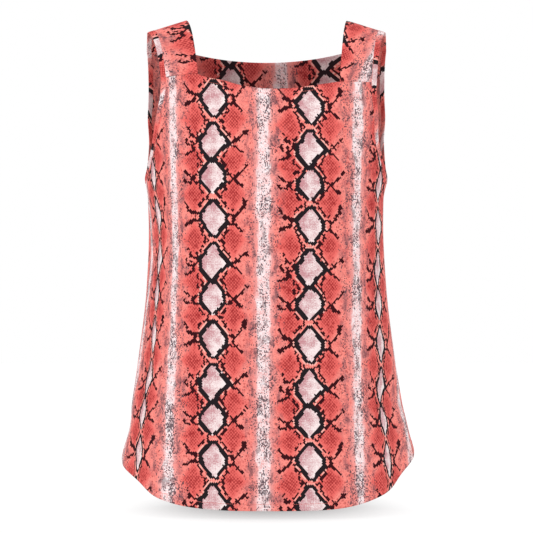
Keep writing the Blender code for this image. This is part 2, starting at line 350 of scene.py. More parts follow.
def body_points(face, height, turn, lift=0.0):
    """Points of the body: turn runs from -1 at the right side seam through 0 to 1 at the left."""
    height, turn = np.broadcast_arrays(np.asarray(height, float), np.asarray(turn, float))
    share = np.abs(turn)
    x, y = (between(SECTIONS[face][part], height, share) for part in (0, 1))
    width, depth = level(height, "half_width") - WALL / 2, half_depth(face, height)
    outward_x = (x / width) ** (SQUARENESS - 1) / width
    outward_y = (y / depth) ** (SQUARENESS - 1) / depth
    size = np.hypot(outward_x, outward_y)
    push = fold_push(face, height, turn) + lift
    sway = level(height, "sway") + (level(height, "front_sway") if face == FRONT else 0.0)
    side = np.where(turn < 0, -1.0, 1.0)
    return np.stack([
        side * (x + push * outward_x / size) + sway,
        face * (y + push * outward_y / size),
        height,
    ], axis=-1)


print(len(FOLDS), "folds and", len(CREASES), "creases")

# %% [markdown]
# ## Edges: neckline, armholes and hem
#
# A panel's rows of cloth bend from its top edge to the hem's curve, and they end at the armhole
# first and at the side seam below it. The armhole is an egg round the side line.

# %% Edges of the panels
NECK_CORNER = 0.0910
FRONT_TOP_COLUMNS = ("across", "right_height", "left_height")
FRONT_TOP = (
    (0.000, -0.0938, -0.0938),
    (0.032, -0.0890, -0.0930),
    (0.055, -0.0825, -0.0898),
    (0.075, -0.0785, -0.0868),
    (0.092, -0.0735, -0.0843),
    (0.125, -0.0765, -0.0838),
)
BACK_CORNER, BACK_NECK_HEIGHT, BACK_NECK_RISE = 0.1000, -0.0508, 0.0114
RIDGE_INNER, RIDGE_OUTER, RIDGE_DROP = 0.1052, 0.1556, 0.0157
RIDGE_ROUNDING, CHEST_HANDLE = 0.52, 0.42
ARMHOLE_TOP, ARMHOLE_BOTTOM = -0.0157, -0.2050
ARMHOLE_REACH = {FRONT: 0.0630, BACK: 0.0370}
ARMHOLE_LOW_CURVE = 2.6
ARMHOLE_HIGH_CURVE = {FRONT: 1.60, BACK: 1.75}
ARMHOLE_SHARE = {FRONT: 0.290, BACK: 0.345}
BAND_WIDTH = 0.0095
HEM_MIDDLE = -0.6295
HEM_RISE = {RIGHT: 0.0625, LEFT: 0.0735}
HEM_CURVE = 1.8


def top_height(face, x):
    if face == BACK:
        return BACK_NECK_HEIGHT + BACK_NECK_RISE * np.clip(np.abs(x) / BACK_CORNER, 0, 1) ** 2
    right, left = (smooth_column(FRONT_TOP, FRONT_TOP_COLUMNS, name, np.abs(x))
                   for name in ("right_height", "left_height"))
    return np.where(np.asarray(x) > 0, left, right)


def armhole_turn_and_height(side, face, share, spread):
    """Places on the armhole, or spread outside it: share is 0 at the panel's top edge, 1 below."""
    share = np.asarray(share, float)
    middle = (ARMHOLE_TOP + ARMHOLE_BOTTOM) / 2
    half_height = (ARMHOLE_TOP - ARMHOLE_BOTTOM) / 2 + spread
    high = ARMHOLE_HIGH_CURVE[face]
    top = float(top_height(face, side * RIDGE_OUTER))
    start = math.asin(((top - middle) / half_height) ** (high / 2))
    angle = start + (-math.pi / 2 - start) * share
    curve = np.where(angle > 0, high, ARMHOLE_LOW_CURVE)
    height = middle + half_height * np.sign(angle) * np.abs(np.sin(angle)) ** (2 / curve)
    ahead = (ARMHOLE_REACH[face] + spread) * np.cos(angle).clip(0) ** (2 / curve)
    return side * (1 - ahead / side_length(face, height)), height


def hem_height(turn):
    rise = np.where(np.asarray(turn) > 0, HEM_RISE[LEFT], HEM_RISE[RIGHT])
    return HEM_MIDDLE + rise * (1 - np.cos(math.pi * np.abs(turn) ** HEM_CURVE)) / 2


print("hem runs from", HEM_MIDDLE, "to", float(hem_height(1.0)))

# %% [markdown]
# ## From a grid to a piece of cloth
#
# A sheet of cloth is a grid whose points are laid on the surface one by one. Blender's grid
# operator makes the faces, and a Solidify modifier gives the cloth its thickness. On the panels the
# inner layer takes a second material: the same print with painted shade, darkest towards the
# middle, where shade falls inside the blouse.
#
# The print must follow the cloth round the body, and the grain runs straight down it. So each
# piece carries a UV map called "print", in metres along the cloth.

# %% A sheet of cloth
CLOTH = 0.0007              # thickness of the cloth itself
ONE_POINT = 0.00001         # points of a sheet that are closer than this become one


def lay_sheet(name, points, prints):
    """A mesh from rows of points, facing the way that rows by columns turn, with its UV map."""
    rows, columns = points.shape[0] - 1, points.shape[1] - 1
    sheet = bmesh.new()
    bmesh.ops.create_grid(sheet, x_segments=columns, y_segments=rows, size=1.0)
    cell = {v: (round((v.co.y + 1) / 2 * rows), round((v.co.x + 1) / 2 * columns))
            for v in sheet.verts}
    grain = sheet.loops.layers.uv.new("print")
    for face in sheet.faces:
        for loop in face.loops:
            loop[grain].uv = prints[cell[loop.vert]]
    for vertex, place in cell.items():
        vertex.co = points[place]
    bmesh.ops.remove_doubles(sheet, verts=sheet.verts, dist=ONE_POINT)
    mesh = bpy.data.meshes.new(name)
    sheet.to_mesh(mesh)
    sheet.free()
    mesh.shade_smooth()
    return mesh


def add_piece(name, mesh, materials):
    """Puts a mesh in the scene as a piece of the blouse."""
    for material in materials:
        mesh.materials.append(material)
    piece = add_object(name, mesh)
    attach(piece, "root")
    return piece


def dress(name, mesh, materials, wall=CLOTH):
    """A laid sheet as a piece of cloth, with its thickness inward."""
    piece = add_piece(name, mesh, materials)
    if wall:
        thick = piece.modifiers.new("thickness", "SOLIDIFY")
        thick.thickness = wall
        thick.offset = -1.0
        thick.use_even_offset = True
        thick.material_offset = len(materials) - 1
    print(name, len(mesh.vertices), "vertices,", len(mesh.polygons), "faces")
    return piece

# %% [markdown]
# ## The snakeskin print
#
# The print is the common one: columns of pale diamonds with black, stepped outlines, red saddles
# with a fine net between them, thin black branches from the diamonds' side corners, and speckled
# white stripes half-way between the columns, all on coral. A snake's scales are small rhombs, and
# every edge of such a print follows them.
#
# It could be a picture, but a formula stays sharp at any distance and can be changed by its
# numbers. The formula works in "points" of print, 1.267 mm each. It first snaps a place to its
# scale, then asks how far the scale is from each diamond, branch and stripe.
#
# Writing that with Math nodes by hand is long, so a small class lets Python's own + - * / make
# the nodes.

# %% Arithmetic that makes nodes
POINT = 0.001267            # metres to one point of the print


class Amount:
    """A number that varies over the cloth. Arithmetic on it adds Math nodes."""

    def __init__(self, tree, socket):
        self.tree, self.socket = tree, socket

    def math(self, operation, *others):
        node = self.tree.nodes.new("ShaderNodeMath")
        node.operation = operation
        feed(self.tree, node, dict(enumerate(plain(value) for value in (self, *others))))
        return Amount(self.tree, node.outputs[0])

    __add__ = partialmethod(math, "ADD")
    __sub__ = partialmethod(math, "SUBTRACT")
    __mul__ = partialmethod(math, "MULTIPLY")
    __truediv__ = partialmethod(math, "DIVIDE")
    __abs__ = partialmethod(math, "ABSOLUTE")
    floor = partialmethod(math, "FLOOR")
    over = partialmethod(math, "GREATER_THAN")
    under = partialmethod(math, "LESS_THAN")
    least = partialmethod(math, "MINIMUM")
    most = partialmethod(math, "MAXIMUM")

    def ramp(self, start, end):
        """0 at start, 1 at end, smooth between them, whichever is larger."""
        node = self.tree.nodes.new("ShaderNodeMapRange")
        node.interpolation_type = "SMOOTHSTEP"
        rising = start < end
        feed(self.tree, node, {
            "Value": self.socket,
            "From Min": min(start, end),
            "From Max": max(start, end),
            "To Min": 0.0 if rising else 1.0,
            "To Max": 1.0 if rising else 0.0,
        })
        return Amount(self.tree, node.outputs["Result"])


def plain(value):
    """An Amount as the socket that it comes out of, and anything else as it is."""
    return value.socket if isinstance(value, Amount) else value


def vector_of(tree, x, y):
    node = tree.nodes.new("ShaderNodeCombineXYZ")
    feed(tree, node, {0: plain(x), 1: plain(y)})
    return node.outputs[0]


def split_of(tree, vector):
    """The first two numbers of a vector."""
    node = tree.nodes.new("ShaderNodeSeparateXYZ")
    feed(tree, node, {0: vector})
    return [Amount(tree, node.outputs[i]) for i in (0, 1)]


def vector_math(tree, operation, first, second):
    node = tree.nodes.new("ShaderNodeVectorMath")
    node.operation = operation
    feed(tree, node, {0: first, "Scale" if operation == "SCALE" else 1: plain(second)})
    return node.outputs["Value" if operation in ("DOT_PRODUCT", "DISTANCE") else "Vector"]


def noise_of(tree, vector, scale, detail):
    node = tree.nodes.new("ShaderNodeTexNoise")
    feed(tree, node, {"Vector": vector, "Scale": scale, "Detail": detail})
    return Amount(tree, node.outputs["Fac"])


def dice_of(tree, first, second):
    """A number from 0 to 1 for every pair, always the same one."""
    node = tree.nodes.new("ShaderNodeTexWhiteNoise")
    node.noise_dimensions = "2D"
    feed(tree, node, {"Vector": vector_of(tree, first, second)})
    return Amount(tree, node.outputs["Value"])


MIX_SHARE, MIX_FIRST, MIX_SECOND, MIX_OUT = 0, 6, 7, 2      # a Mix node's sockets for colours


def mixed(tree, first, second, share):
    """Two colours mixed."""
    node = tree.nodes.new("ShaderNodeMix")
    node.data_type = "RGBA"
    feed(tree, node, {MIX_SHARE: plain(share), MIX_FIRST: first, MIX_SECOND: second})
    return node.outputs[MIX_OUT]


def ink(red, green, blue):
    """A colour as a printer's chart gives it, 0 to 255, made linear as shaders need it."""
    return tuple(((c / 255 + 0.055) / 1.055) ** 2.4 for c in (red, green, blue)) + (1.0,)

# %% The print's chart
COLUMN_PITCH = 96.0         # from one column of diamonds to the next
REPEAT = 121.0              # down a column, for three diamonds
REPEAT_TOP = 24.5           # from the repeat's top edge to the first diamond's centre
SCALE_ACROSS, SCALE_DOWN = 0.47, 0.39   # scales in a point: a scale is a rhomb 2.1 by 2.6 points
WAVER = 3.0                 # how far the chart wavers, from one side to the other
SNAPPED = 0.92              # how much of a place comes from its scale, the rest from itself
COLUMN_SHIFTS = ((0, 6.0), (1, 6.0), (-2, -4.0))    # columns that lie lower, and how far
SECOND_STARTS, THIRD_STARTS = 21.5, 62.5            # how far down the next diamond's part begins
SECOND_DOWN, THIRD_DOWN = 43.5, 36.2                # from one diamond's centre to the next
HALF_WIDTH, SIDE_CUT = 15.3, 13.0   # of a diamond, and where its pale inside is cut off
ROUNDED = 1.08              # 1 makes straight-sided diamonds, 2 ellipses

# Strokes run from point to point, measured from the first diamond's centre. Each row is a chain
# of them: x, y, then half width, x, y for every stroke on.
# Outlines of the three diamonds
OUTLINES = (
    (-2.5, -18, 2.0, 2.5, -18), (-2.5, -18, 1.9, -9.5, -10, 2.2, -13, -5.5),
    (-13.5, -5.5, 2.1, -12.5, 1.5, 1.9, -3, 16.5), (-3, 17, 1.3, 4, 19),
    (4, 18.5, 1.7, 6.5, 13, 2.1, 13.5, 4.5), (13, 4.5, 2.0, 13, -3, 1.9, 2.5, -18),
    (-2.5, 24.7, 1.7, 2.8, 25), (-3, 25, 1.9, -8, 31.5), (-7.7, 31.5, 1.7, -8, 35, 2.1, -14, 39.5, 2.0,
     -13, 50, 2.1, -4.5, 61.5), (3, 25, 1.7, 7.8, 35, 2.1, 17, 45.5),
    (16, 45.5, 2.1, 6.5, 53, 1.9, 0.5, 61), (-4, 62.5, 2.8, 2, 62.5),
    (-5, 64, 1.8, -8, 69, 2.2, -13, 76), (-13.5, 76, 1.9, -13.5, 84), (-13, 84, 2.0, -4, 94),
    (2, 94.5, 1.8, 9, 88, 2.2, 12, 84.5, 1.9, 11.5, 77, 1.9, 9.5, 71, 2.0, 1, 62),
)
# Branches leave the diamonds' side corners
BRANCHES = (
    (-17, -5, 2.0, -26, -8), (-26.5, -10.5, 1.1, -30.5, -16.5), (-19, -5, 1.3, -18.8, 0.5),
    (-19.5, 0.5, 1.9, -29, 5.5), (-17, 2.5, 1.1, -14, 2), (15, -4.5, 1.2, 19, -4),
    (20.3, -3, 1.7, 20.5, 4.5), (14, 5.5, 1.3, 19.5, 5.5), (22, -1.5, 1.2, 26, -6, 1.5, 29, -11),
    (30.5, -12, 2.2, 31.5, -18), (21.5, 5, 1.3, 29, 12.5), (-16.8, 39, 1.3, -17, 44),
    (-17.5, 45, 1.2, -22, 47, 2.0, -20.5, 51.5), (-20.5, 52, 1.6, -24, 54, 1.3, -30, 56),
    (-24.5, 34, 1.3, -24.5, 38), (-23.5, 36, 1.4, -20, 38.5), (-28.7, 41, 1.3, -29, 42),
    (-29, 44, 1.3, -26, 46.5), (-22.8, 43, 1.3, -22.3, 43.6), (-26.5, 29, 1.1, -26.5, 30.5),
    (18.5, 46, 1.5, 23, 42.5), (22.5, 40, 1.4, 26, 43), (24, 41.5, 1.1, 34, 33),
    (31, 34, 1.1, 34, 36.5), (18, 47, 1.2, 24, 50, 1.0, 29.5, 55), (-30, 73.5, 1.3, -25, 77.5),
    (-22.5, 78, 1.4, -20.5, 80.5), (-17.5, 77, 1.4, -23, 81),
    (-21, 83, 1.4, -18.5, 85.5, 1.2, -14.5, 85), (-29.5, 84, 1.4, -24, 84.8),
    (-31, 81.5, 1.3, -30.5, 82.5), (13, 77, 1.3, 14.5, 76.8),
    (17.3, 77.3, 1.4, 20.5, 80.5, 1.4, 16, 86), (21, 80, 1.3, 29.5, 73.3), (31, 70.8, 1.0, 32, 70.2),
    (33, 67.5, 1.4, 34, 68.5), (21.5, 81, 1.7, 24, 85, 1.6, 29.5, 88.5),
)
# Rows of small dark scales along the outlines
ROWS = (
    (3, -24.5, 1.2, 8, -21.5), (9, -18, 1.2, 11.5, -16), (12, -12.6, 1.2, 12.5, -12.4),
    (14.3, -10.2, 1.2, 15, -9.8), (18.5, -9, 1.1, 18.7, -8), (-10, -18.8, 1.4, -10.4, -18),
    (-13, -16, 1.4, -14.8, -13), (-6, -24, 0.9, -6, -19), (-14.7, 6, 1.1, -14, 9),
    (-12, 10, 1.1, -11.6, 16.5), (-9, 18, 1.2, -9, 25), (-6, 21, 1.1, -5.9, 22),
    (-11.6, 27.3, 1.1, -11.4, 27.7), (-13.3, 32, 1.0, -14, 33), (-16.3, 35, 1.3, -16.6, 35.4),
    (13.5, 9.5, 1.1, 15, 12.5, 1.2, 12, 15), (9.7, 16, 1.2, 11.7, 18.7), (6.3, 22.8, 1.0, 8.5, 21),
    (8.5, 21.5, 1.3, 10.5, 24.5), (9.7, 27, 1.2, 11.5, 31.5), (13, 33.5, 1.2, 17, 38.5),
    (13.6, 51, 1.1, 13, 55, 1.1, 10.2, 60), (4.8, 57.8, 1.0, 5.1, 58.4), (7.5, 61.5, 1.2, 11, 66),
    (-16.5, 55, 1.0, -16, 60), (-13, 60.5, 1.2, -11, 64.5), (-16, 66, 1.1, -15.5, 69.5),
    (-12.5, 66.5, 1.2, -12.3, 67.3), (12.4, 67, 1.2, 12.6, 69), (14, 72, 1.1, 14.5, 75.5),
    (-15.5, 74, 1.0, -15.4, 75), (-14.5, 89.5, 1.2, -10.5, 96), (13, 90, 1.4, 9.3, 95.2),
    (-4, 95.5, 0.9, 3.5, 95.7),
)

BLACK_INK = ink(34, 27, 31)
BROWN_INK = ink(56, 15, 21)
CORAL_INK = ink(252, 146, 135)
DEEP_CORAL_INK = ink(222, 108, 102)
SADDLE_INK = ink(232, 106, 100)
NET_INK = ink(150, 32, 36)
PALE_INK = ink(244, 228, 227)
STRIPE_INK = ink(246, 238, 240)
PINK_INK = ink(238, 168, 164)
ROSE_INK = ink(196, 138, 144)
MAUVE_INK = ink(172, 104, 108)
GREY_INK = ink(84, 66, 74)
LIGHT_LINE_INK = ink(255, 196, 184)
# the colour of the painted shade inside the panels
SHADED_INK = ink(46, 14, 18)
THREAD_INK = ink(226, 122, 114)


def nearest_stroke(tree, place, chains):
    """How near the closest of some strokes is: under 1 on its ink."""
    found = None
    strokes = [chain[i:i + 5] for chain in chains for i in range(0, len(chain) - 2, 3)]
    for x0, y0, half_width, x1, y1 in strokes:
        way = np.array([x1 - x0, y1 - y0])
        step = way / (way @ way)
        start = vector_math(tree, "SUBTRACT", place, (x0, y0, 0.0))
        along = Amount(tree, vector_math(tree, "DOT_PRODUCT", start, (step[0], step[1], 0.0)))
        along = along.most(0.0).least(1.0)
        reached = vector_math(tree, "SCALE", (way[0], way[1], 0.0), along)
        near = Amount(tree, vector_math(tree, "DISTANCE", start, reached)) * (1 / half_width)
        found = near if found is None else found.least(near)
    return found


def snakeskin_group():
    """The print as a node group: a place in points goes in, its colour comes out."""
    tree = bpy.data.node_groups.new("snakeskin print", "ShaderNodeTree")
    tree.interface.new_socket("Place", in_out="INPUT", socket_type="NodeSocketVector")
    tree.interface.new_socket("Color", in_out="OUTPUT", socket_type="NodeSocketColor")
    place = tree.nodes.new("NodeGroupInput").outputs["Place"]
    u, v = split_of(tree, place)

    # A snake has no straight lines: the whole chart wavers by a point or so
    u = u + (noise_of(tree, place, 0.045, 1.0) - 0.5) * WAVER

    # Snap to the scale, and throw a die for every scale
    across, down = u * SCALE_ACROSS, v * SCALE_DOWN
    first, second = (across + down).floor() + 0.5, (across - down).floor() + 0.5
    scale_u = (first + second) * (0.5 / SCALE_ACROSS)
    scale_v = (first - second) * (0.5 / SCALE_DOWN)
    dice = dice_of(tree, first, second)
    pair = (first + second) * 0.5
    every_other = (pair - pair.floor()).over(0.25)

    # The place in its column, mostly snapped. Some columns lie a few points lower or higher
    column = (scale_u / COLUMN_PITCH).floor()
    shifts = [abs(column - which).under(0.5) * lower for which, lower in COLUMN_SHIFTS]
    shift = shifts[0] + shifts[1] + shifts[2]
    x = u * (1 - SNAPPED) + scale_u * SNAPPED - column * COLUMN_PITCH - COLUMN_PITCH / 2
    lifted = (v * (1 - SNAPPED) + scale_v * SNAPPED - shift + REPEAT_TOP) / REPEAT
    y = (lifted - lifted.floor()) * REPEAT - REPEAT_TOP

    # Diamonds: three in a repeat, each with its own centre and height, the second leaning a little
    past_first, past_second = y.over(SECOND_STARTS), y.over(THIRD_STARTS)
    up = y - past_first * SECOND_DOWN - past_second * THIRD_DOWN
    tall = past_first * 0.5 - past_second * 2.5 + 19.5
    leaning = x + up * ((past_first - past_second) * 0.08)
    side_x, side_y = abs(x), abs(up)
    inner = (abs(leaning) / HALF_WIDTH).math("POWER", ROUNDED)
    inner = inner + (side_y / tall).math("POWER", ROUNDED)
    pale = inner.under(1.0) * side_x.under(SIDE_CUT)

    # Outlines, branches and rows of dark scales: ragged, as a scale is either inked or not
    spot = vector_of(tree, x, y)
    edge = nearest_stroke(tree, spot, OUTLINES)
    outlines = (edge + (dice - 0.5) * 0.3).under(1.04)
    branches = (nearest_stroke(tree, spot, BRANCHES) + (dice - 0.5) * 0.95).under(1.0)
    rows = (nearest_stroke(tree, spot, ROWS) + (dice - 0.5) * 1.3).under(1.10)

    # Saddles between the diamonds, either side of the column, with a net of scales
    waist = abs(y + 23.5).least(abs(y - 21.0)).least(abs(y - 62.5)).least(abs(y - 97.0))
    saddle_size = abs(side_x - 20.0) / 14.0 + waist / 21.0
    saddle = saddle_size.ramp(1.2, 0.7)
    cloud = noise_of(tree, place, 0.10, 3.0)
    grit = noise_of(tree, place, 0.75, 2.0)
    netted = saddle_size.ramp(1.05, 0.15) * 0.75 + (cloud - 0.5) * 1.2

    # Stripes half-way between the columns: the middle one is the broadest
    stripe_at = (u - 2.5) / COLUMN_PITCH + 0.5
    stripe_side = abs(stripe_at - stripe_at.floor() - 0.5) * COLUMN_PITCH
    broad = abs(stripe_at.floor()).under(0.5) * 1.4 + 3.8
    which_stripe = stripe_at.floor() * 9.0
    swell = (noise_of(tree, vector_of(tree, which_stripe, v * 0.016), 1.0, 1.0) - 0.5) * 8.0
    frayed = (noise_of(tree, vector_of(tree, u * 0.24, v * 0.09), 1.0, 3.0) - 0.5) * 7.0
    off_stripe = stripe_side + frayed - broad - swell
    stripe = off_stripe.ramp(2.5, -0.5)
    blush = off_stripe.ramp(8.0, 0.0)
    near_stripe = stripe_side.ramp(25.0, 12.0)

    # Salt and pepper on the stripes, in clusters
    salt = dice_of(tree, (u * 1.05).floor(), (v * 0.85).floor())
    cluster = noise_of(tree, vector_of(tree, u * 0.07, v * 0.035), 1.0, 3.0)
    pepper = salt.under((cluster.ramp(0.44, 0.66) * 0.48 + 0.06) * stripe_side.ramp(24.0, 2.0))

    # Inks, one over the other
    streak = noise_of(tree, vector_of(tree, u * 0.16 + 40.0, v * 0.07), 1.0, 3.0)
    colour = mixed(tree, CORAL_INK, DEEP_CORAL_INK, (cloud * 0.8 + grit * 0.9).ramp(0.68, 1.20))
    mauve = (streak + grit * 0.35).ramp(0.56, 0.80) * near_stripe
    colour = mixed(tree, colour, MAUVE_INK, mauve * 0.62)
    colour = mixed(tree, colour, SADDLE_INK, saddle)
    rising, falling = (((u * 0.33 + v * lean) * (2 * math.pi)).math("SINE")
                       for lean in (0.28, -0.28))
    net = (rising + falling) * 0.24 + 0.30 + dice * 0.45
    colour = mixed(tree, colour, NET_INK, (netted * net).ramp(0.02, 0.55) * 0.80)
    grain = (dice.over(0.955) * 0.55).most(salt.over(0.86) * 0.26)
    colour = mixed(tree, colour, NET_INK, grain)
    line = edge.over(1.2) * edge.under(1.75)
    line = line * (cloud.ramp(0.32, 0.60) * 0.7) * dice.over(0.15)
    colour = mixed(tree, colour, LIGHT_LINE_INK, line)
    colour = mixed(tree, colour, PINK_INK, blush * 0.75)
    colour = mixed(tree, colour, STRIPE_INK, stripe * (grit + cloud * 0.6).ramp(1.15, 0.55))
    smudge = (streak + grit * 0.3 + dice * 0.12).ramp(0.74, 0.88) * near_stripe
    colour = mixed(tree, colour, GREY_INK, smudge * 0.55)
    colour = mixed(tree, colour, GREY_INK, pepper * 0.9)
    colour = mixed(tree, colour, BROWN_INK, rows.most(branches))
    shading = every_other * 0.06 + grit * 1.1 + cloud * 1.3 + x * -0.020 + up * -0.008
    inside = mixed(tree, PALE_INK, ROSE_INK, shading.ramp(0.85, 1.60))
    colour = mixed(tree, colour, inside, pale)
    colour = mixed(tree, colour, BLACK_INK, outlines)
    out = tree.nodes.new("NodeGroupOutput")
    tree.links.new(colour, out.inputs["Color"])
    print("snakeskin print:", len(tree.nodes), "nodes")
    return tree


SNAKESKIN = snakeskin_group()

# %% [markdown]
# ## Printed cloth as a material
#
# The cloth is a plain weave with a soft, nearly matt face. One material is made for each way the
# print lies on a piece: the panels have it straight, the straps and bindings were cut at an
# angle. The weave is a tiny bump, threads half a millimetre apart.

# %% Cloth materials
WEAVE_PITCH, WEAVE_DEPTH = 0.0005, 0.00008
PAINTED_SHADE_FROM, PAINTED_SHADE_TO = 0.140, 0.095       # metres off the middle between which the painted shade inside grows


def printed_cloth(name, at, shows, turned=0.0, point=POINT, eased=1.0, painted_shade=0.0):
    """Cloth with the print: the UV map's place "at", in metres, shows the print's place "shows"."""
    material, tree, shader = add_material(name, {
        "Roughness": 0.8,
        "Specular IOR Level": 0.07,
        "Sheen Weight": 0.01,
        "Sheen Roughness": 0.5,
    })
    grain = tree.nodes.new("ShaderNodeUVMap")
    grain.uv_map = "print"
    lay = tree.nodes.new("ShaderNodeMapping")
    turn = math.radians(turned)
    across, down = at[0] / point / eased, -at[1] / point
    feed(tree, lay, {
        "Vector": grain.outputs[0],
        "Scale": (1 / point / eased, -1 / point, 1.0),
        "Rotation": (0.0, 0.0, turn),
        "Location": (
            shows[0] - across * math.cos(turn) + down * math.sin(turn),
            shows[1] - across * math.sin(turn) - down * math.cos(turn),
            0.0,
        ),
    })
    print_node = tree.nodes.new("ShaderNodeGroup")
    print_node.node_tree = SNAKESKIN
    feed(tree, print_node, {"Place": lay.outputs[0]})
    colour = print_node.outputs["Color"]
    on_weft, on_warp = split_of(tree, grain.outputs[0])
    # Painted shade: the inner side darkens towards the panel's middle, where shade falls inside the
    # blouse
    if painted_shade:
        colour = mixed(tree, colour, SHADED_INK, abs(on_weft).ramp(PAINTED_SHADE_FROM, PAINTED_SHADE_TO) * painted_shade)

    to_threads = 2 * math.pi / WEAVE_PITCH
    across_threads, down_threads = on_weft * to_threads, on_warp * to_threads
    weave = across_threads.math("SINE") * down_threads.math("SINE")
    bump = tree.nodes.new("ShaderNodeBump")
    feed(tree, bump, {"Strength": 0.25, "Distance": WEAVE_DEPTH, "Height": weave.socket})
    feed(tree, shader, {"Base Color": colour, "Normal": bump.outputs[0]})
    return material


COLUMN = COLUMN_PITCH / 2   # the print's place 0 is on a stripe, half-way between two columns

FRONT_CLOTH = printed_cloth("front cloth", (0, 0), (5.5, -205.4))
# The panels' inner sides: the same print, with painted shade towards the middle
FRONT_INSIDE_PAINTED_SHADE = printed_cloth("front cloth, inside with painted shade", (0, 0), (5.5, -205.4), painted_shade=0.3)
BACK_CLOTH = printed_cloth("back cloth", (-0.0467, -0.0554), (-COLUMN, 62.5), point=0.00131)
BACK_INSIDE_PAINTED_SHADE = printed_cloth(
    "back cloth, inside with painted shade", (-0.0467, -0.0554), (-COLUMN, 62.5), point=0.00131, painted_shade=0.26)
RIGHT_STRAP_CLOTH = printed_cloth(
    "right strap cloth", (-0.1094, 0.0655), (-COLUMN - 20.5, 47.0), 15, eased=1.5)
LEFT_STRAP_CLOTH = printed_cloth("left strap cloth", (0.1052, 0.0600), (COLUMN + 20, 49.5), -20)
RIGHT_BINDING_CLOTH = printed_cloth("right binding cloth", (0.005, 0.0445), (-COLUMN, 0.0), 50)
LEFT_BINDING_CLOTH = printed_cloth("left binding cloth", (0.005, 0.0100), (COLUMN, 6.0), -50)
print("cloth materials", [m.name for m in bpy.data.materials])

# %% [markdown]
# ## Front and back
#
# Each panel is one sheet. Its grid has a point about every 3 mm, fine enough for the creases.
#
# On the real blouse the print doesn't lie quite evenly: the cloth is eased into the side seams
# and a little is lost in small tucks there, so the outer columns look drawn together. Tucks that
# small would need a far finer sheet, so the print's map creeps instead, by a short table.

# %% Front and back panels
HALF_COLUMNS = 76
ARMHOLE_ROWS, SIDE_ROWS = 62, 118
UNDER_BAND = 0.0030         # the panel's edge runs this far into the folded binding


def panel_places(face):
    """Turn and height of every point of a panel, row by row."""
    rows = np.arange(ARMHOLE_ROWS + SIDE_ROWS + 1)[:, None]
    along = np.linspace(-1, 1, 2 * HALF_COLUMNS + 1)[None, :]
    side_rows = np.clip((rows - ARMHOLE_ROWS) / SIDE_ROWS, 0, 1)
    share = ARMHOLE_SHARE[face]
    down = share * np.clip(rows / ARMHOLE_ROWS, 0, 1) + (1 - share) * side_rows
    start = ARMHOLE_BOTTOM - BAND_WIDTH + UNDER_BAND
    turns, heights = [], []
    for side in (RIGHT, LEFT):
        turn, height = armhole_turn_and_height(
            side, face, np.clip(rows / ARMHOLE_ROWS, 0, 1), BAND_WIDTH - UNDER_BAND)
        below = start + (float(hem_height(side)) - start) * side_rows
        height = np.where(rows <= ARMHOLE_ROWS, height, below)
        turn = np.where(rows <= ARMHOLE_ROWS, np.abs(turn), 1.0)
        top_turn, top_end = turn[0, 0], height[0, 0]
        top_x = body_points(face, top_end, along * top_turn)[..., 0]
        plain = (1 - down) * top_height(face, top_x) + down * hem_height(along)
        plain_end = (1 - down) * top_end + down * float(hem_height(side))
        heights.append(plain + (height - plain_end) * np.abs(along) ** 3)
        turns.append(along * turn)
    left = along >= 0
    return np.where(left, turns[1], turns[0]), np.where(left, heights[1], heights[0])


# How the print has crept along the front's cloth, in points. On each side: where the outer column
# lies, how much print a tuck draws together there, and how much more is eased in up to the seam.
# Then: how far the left column has crept out, and how far the print has risen on both sides.
CREEP_COLUMNS = ("height", "right_place", "right_tuck", "right_ease", "left_place", "left_tuck",
                 "left_ease", "left_column", "right_rise", "left_rise")
CREEP = (
    (-0.090, 130.0, 12.0, 20.0, 130.0, 12.0, 1.0, 0.8, 0.0, -2.0),
    (-0.226, 128.0, 16.0, 20.0, 130.0, 16.0, 0.7, 2.2, 0.0, -1.0),
    (-0.262, 121.5, 18.0, 36.0, 131.0, 16.0, -0.7, 1.6, 0.0, -0.8),
    (-0.304, 118.5, 26.0, 38.0, 128.0, 16.0, 3.7, 1.6, 0.0, -0.8),
    (-0.355, 123.0, 26.0, 23.5, 126.0, 12.0, 10.0, 2.0, 0.0, -0.4),
    (-0.402, 126.0, 27.0, 16.0, 127.0, 10.0, 10.0, 0.8, 0.0, 0.3),
    (-0.455, 131.0, 27.0, 7.0, 127.0, 10.0, 10.0, 0.6, 0.0, 1.2),
    (-0.490, 139.0, 27.0, -3.4, 124.0, 14.0, 14.0, 0.8, 0.0, 2.2),
    (-0.528, 146.0, 26.0, -9.6, 129.0, 16.0, 2.0, 1.0, 0.4, 3.6),
    (-0.560, 147.5, 25.0, -10.6, 129.0, 16.0, 2.0, 1.2, 1.0, 5.4),
    (-0.610, 152.0, 22.0, -14.0, 131.5, 14.0, 0.0, 2.0, 1.5, 6.0),
)
TUCK_REACH = 10.0           # points, either side of a tuck's middle
SIDE_SPAN = (85, 155)       # points off the middle between which the easing grows
OFF_MIDDLE_SPAN = (5, 35)   # the same for what moves a whole column
BACK_SIDE_SPAN, BACK_EASE = (0.08, 0.15), 0.030     # the same for the back, in metres


def smooth_step(start, end, at):
    t = np.clip((at - start) / (end - start), 0, 1)
    return t * t * (3 - 2 * t)


def front_print(height, turn):
    """The UV map of the front: even along the cloth, but for the creep."""
    across = turn * side_length(FRONT, height) + level(height, "sway") + level(height, "front_sway")
    creep = {name: smooth_column(CREEP, CREEP_COLUMNS, name, height) for name in CREEP_COLUMNS[1:]}
    off, left = np.abs(across) / POINT, across > 0
    place, tuck, ease, rise = (np.where(left, creep["left_" + name], creep["right_" + name])
                               for name in ("place", "tuck", "ease", "rise"))
    drawn = smooth_step(place - TUCK_REACH, place + TUCK_REACH, off)
    outward = ease * smooth_step(*SIDE_SPAN, off) + tuck * drawn
    to_column = smooth_step(*OFF_MIDDLE_SPAN, off)
    sideways = np.where(left, outward - creep["left_column"] * to_column, -outward)
    return np.stack([across + sideways * POINT, height - rise * to_column * POINT], axis=-1)


